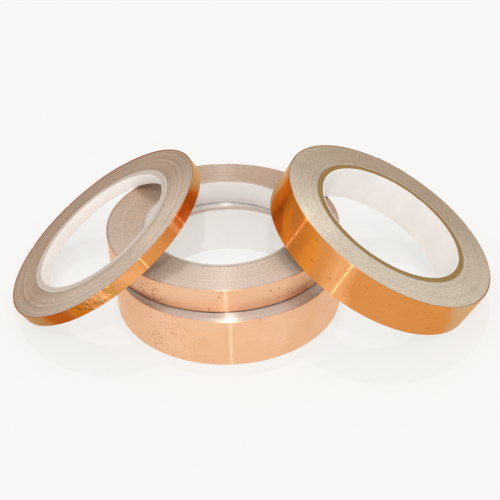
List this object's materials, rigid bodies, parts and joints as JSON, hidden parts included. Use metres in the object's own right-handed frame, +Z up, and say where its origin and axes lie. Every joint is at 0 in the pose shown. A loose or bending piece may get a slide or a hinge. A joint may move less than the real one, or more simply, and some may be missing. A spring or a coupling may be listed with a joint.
{
  "type": "copper foil tape roll set",
  "caption": "Rolls of adhesive copper foil tape in four widths on 3-inch cores: one flat, one stacked on it, two leaning on the stack, each with a liftable tape end.",
  "frame": {"origin": "where the wide roll's bore axis meets the table", "axes": "+Z up along the flat rolls' bores, +X towards the right-hand leaning roll, +Y to the back"},
  "size_m": [0.2428, 0.1267, 0.0696],
  "materials": {
    "copper_foil": "polished copper foil, slightly creased",
    "pale_copper_foil": "pale copper foil, polished, with dark specks",
    "wound_edges": "cut edges of release paper and foil, matt",
    "white_plastic": "moulded, slightly translucent",
    "paperboard": "wound board, cut edge",
    "white_paper": "smooth bore lining",
    "release_paper": "smooth release paper",
    "adhesive_strip": "thin double-sided strip"
  },
  "bodies": {
    "wide_roll": {"wide_core": "white_plastic", "wide_starter_strip": "adhesive_strip", "wide_wound_turns": "wound_edges", "wide_last_turn": "pale_copper_foil"},
    "wide_tail": {"wide_tail_liner": "release_paper", "wide_tail_foil": "pale_copper_foil"},
    "upper_roll": {"upper_core": "white_plastic", "upper_starter_strip": "adhesive_strip", "upper_wound_turns": "wound_edges", "upper_last_turn": "pale_copper_foil"},
    "upper_tail": {"upper_tail_liner": "release_paper", "upper_tail_foil": "pale_copper_foil"},
    "left_roll": {"left_core": "white_plastic", "left_starter_strip": "adhesive_strip", "left_wound_turns": "wound_edges", "left_last_turn": "copper_foil"},
    "left_tail": {"left_tail_liner": "release_paper", "left_tail_foil": "copper_foil"},
    "right_roll": {"right_core": "paperboard", "right_core_lining": "white_paper", "right_starter_strip": "adhesive_strip", "right_wound_turns": "wound_edges", "right_last_turn": "copper_foil"},
    "right_tail": {"right_tail_liner": "release_paper", "right_tail_foil": "copper_foil"}
  },
  "joints": [
    {"name": "upper_lift", "type": "slide", "parent": "wide_roll", "child": "upper_roll", "axis": [0, 0, 1], "range_m": [0, 0.12]},
    {"name": "left_lift", "type": "slide", "parent": "upper_roll", "child": "left_roll", "axis": [-0.5426, -0.0256, 0.8396], "range_m": [0, 0.12]},
    {"name": "right_lift", "type": "slide", "parent": "upper_roll", "child": "right_roll", "axis": [0.4578, -0.0603, 0.887], "range_m": [0, 0.12]},
    {"name": "wide_tail_peel", "type": "hinge", "parent": "wide_roll", "child": "wide_tail", "pos_m": [0.01987, 0.0546, 0], "axis": [0, 0, -1], "range_deg": [0, 60]},
    {"name": "upper_tail_peel", "type": "hinge", "parent": "upper_roll", "child": "upper_tail", "pos_m": [-0.00836, 0.06628, 0.0255], "axis": [0, 0, -1], "range_deg": [0, 60]},
    {"name": "left_tail_peel", "type": "hinge", "parent": "left_roll", "child": "left_tail", "pos_m": [-0.05612, 0.06226, 0.03537], "axis": [0.5426, 0.0256, -0.8396], "range_deg": [0, 60]},
    {"name": "right_tail_peel", "type": "hinge", "parent": "right_roll", "child": "right_tail", "pos_m": [0.08815, 0.05302, 0.02175], "axis": [-0.4578, 0.0603, -0.887], "range_deg": [0, 60]}
  ]
}
